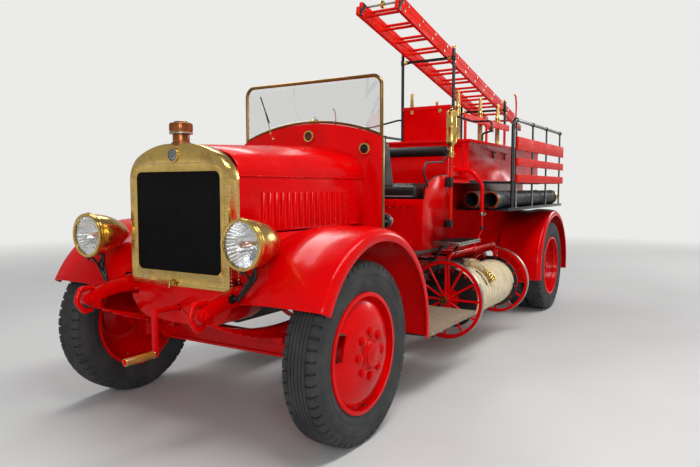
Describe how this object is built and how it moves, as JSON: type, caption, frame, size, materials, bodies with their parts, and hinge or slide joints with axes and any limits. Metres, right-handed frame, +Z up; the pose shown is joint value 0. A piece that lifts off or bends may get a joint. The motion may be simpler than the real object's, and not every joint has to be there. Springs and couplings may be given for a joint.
{
  "type": "fire engine",
  "caption": "Open-cab 1920s motor fire engine with brass radiator, spoked slung hose reels, side racks, twin rear wheels and a sliding ladder on a gantry.",
  "frame": {"origin": "on the ground under the middle of the overall box", "axes": "+X forward, +Y the vehicle's left, +Z up"},
  "size_m": [6.1601, 2.06, 2.9455],
  "materials": {
    "red_paint": "gloss enamel",
    "black_iron": "black paint",
    "brass": "polished",
    "tyre": "worn",
    "black_rubber": "ribbed hose",
    "leather": "padded",
    "canvas": "woven hose",
    "wood_slats": "weathered",
    "red_wood": "gloss enamel",
    "floor_wood": "dark planks",
    "clear_glass": "clear",
    "core_black": "matt fins",
    "cast_iron": "rough"
  },
  "bodies": {
    "chassis": {"frame": "red_paint", "front_axle": "red_paint", "rear_axle": "red_paint", "leaf_springs": "black_iron", "engine": "cast_iron", "radiator_shell": "brass", "radiator_core": "core_black", "bonnet_top": "red_paint", "scuttle": "red_paint", "windscreen_frame": "brass", "windscreen_glass": "clear_glass", "front_mudguards": "red_paint", "rear_mudguards": "red_paint", "headlamps": "brass", "headlamp_lenses": "clear_glass", "lamp_brackets": "black_iron", "cab_floor": "floor_wood", "seat_frame": "red_paint", "seat_cushion": "leather", "leather_pads": "leather", "controls": "black_iron", "body_box": "red_paint", "top_locker": "red_paint", "side_racks": "black_iron", "rack_planks": "red_wood", "suction_hoses": "black_rubber", "branch_pipes": "brass", "torches": "brass", "ladder_gantry": "black_iron", "step_irons": "black_iron", "slatted_steps": "wood_slats", "reel_hangers": "red_paint", "pump": "red_paint", "apron": "red_paint", "starting_crank": "red_paint"},
    "front_left_hub": {"knuckle_left": "red_paint"},
    "front_right_hub": {"knuckle_right": "red_paint"},
    "track_rod": {"tie_rod": "red_paint"},
    "front_left_road_wheel": {"front_tyre_left": "tyre", "front_wheel_left": "red_paint"},
    "front_right_road_wheel": {"front_tyre_right": "tyre", "front_wheel_right": "red_paint"},
    "rear_left_road_wheels": {"rear_tyres_left": "tyre", "rear_wheel_left": "red_paint"},
    "rear_right_road_wheels": {"rear_tyres_right": "tyre", "rear_wheel_right": "red_paint"},
    "steering": {"steering_wheel": "black_iron"},
    "bonnet_flap_left": {"bonnet_side_left": "red_paint"},
    "bonnet_flap_right": {"bonnet_side_right": "red_paint"},
    "hose_reel_left": {"reel_left": "red_paint", "reel_hose_left": "canvas"},
    "hose_reel_right": {"reel_right": "red_paint", "reel_hose_right": "canvas"},
    "tailboard": {"rear_door": "red_paint"},
    "ladder_carriage": {"ladder_base": "red_wood"},
    "ladder_upper": {"ladder_fly": "red_wood"}
  },
  "joints": [
    {"name": "front_left_steer", "type": "hinge", "parent": "chassis", "child": "front_left_hub", "pos_m": [2.33, 0.7, 0.49], "axis": [0, 0, 1], "range_deg": [-25, 25]},
    {"name": "front_right_steer", "type": "hinge", "parent": "chassis", "child": "front_right_hub", "pos_m": [2.33, -0.7, 0.49], "axis": [0, 0, 1], "range_deg": [-25, 25]},
    {"name": "track_rod_shift", "type": "slide", "parent": "chassis", "child": "track_rod", "axis": [0, 1, 0], "range_m": [-0.085, 0.085]},
    {"name": "steering_wheel_turn", "type": "hinge", "parent": "chassis", "child": "steering", "pos_m": [1.135, -0.35, 1.5], "axis": [-0.4004, 0, 0.9163], "range_deg": [-420, 420]},
    {"name": "front_left_spin", "type": "hinge", "parent": "front_left_hub", "child": "front_left_road_wheel", "pos_m": [2.33, 0.878, 0.49], "axis": [0, 1, 0], "continuous": true},
    {"name": "front_right_spin", "type": "hinge", "parent": "front_right_hub", "child": "front_right_road_wheel", "pos_m": [2.33, -0.878, 0.49], "axis": [0, 1, 0], "continuous": true},
    {"name": "rear_left_spin", "type": "hinge", "parent": "chassis", "child": "rear_left_road_wheels", "pos_m": [-1.94, 0.706, 0.49], "axis": [0, 1, 0], "continuous": true},
    {"name": "rear_right_spin", "type": "hinge", "parent": "chassis", "child": "rear_right_road_wheels", "pos_m": [-1.94, -0.706, 0.49], "axis": [0, 1, 0], "continuous": true},
    {"name": "bonnet_left_lift", "type": "hinge", "parent": "chassis", "child": "bonnet_flap_left", "pos_m": [1.4643, 0.447, 1.42], "axis": [0.9979, -0.0643, 0], "range_deg": [0, 100]},
    {"name": "bonnet_right_lift", "type": "hinge", "parent": "chassis", "child": "bonnet_flap_right", "pos_m": [1.4643, -0.447, 1.42], "axis": [-0.9979, -0.0643, 0], "range_deg": [0, 100]},
    {"name": "reel_left_spin", "type": "hinge", "parent": "chassis", "child": "hose_reel_left", "pos_m": [0.04, 0.715, 0.49], "axis": [1, 0, 0], "continuous": true},
    {"name": "reel_right_spin", "type": "hinge", "parent": "chassis", "child": "hose_reel_right", "pos_m": [0.04, -0.715, 0.49], "axis": [1, 0, 0], "continuous": true},
    {"name": "tailboard_drop", "type": "hinge", "parent": "chassis", "child": "tailboard", "pos_m": [-2.23, 0, 1.42], "axis": [0, -1, 0], "range_deg": [0, 90]},
    {"name": "ladder_draw_off", "type": "slide", "parent": "chassis", "child": "ladder_carriage", "axis": [-0.9799, 0, -0.1994], "range_m": [0, 1]},
    {"name": "ladder_extend", "type": "slide", "parent": "ladder_carriage", "child": "ladder_upper", "axis": [0.9799, 0, 0.1994], "range_m": [0, 2]}
  ],
  "couplings": [
    {"joint": "front_right_steer", "follows": "front_left_steer", "ratio": 1},
    {"joint": "track_rod_shift", "follows": "front_left_steer", "m_per_rad": -0.19},
    {"joint": "steering_wheel_turn", "follows": "front_left_steer", "ratio": 16}
  ]
}
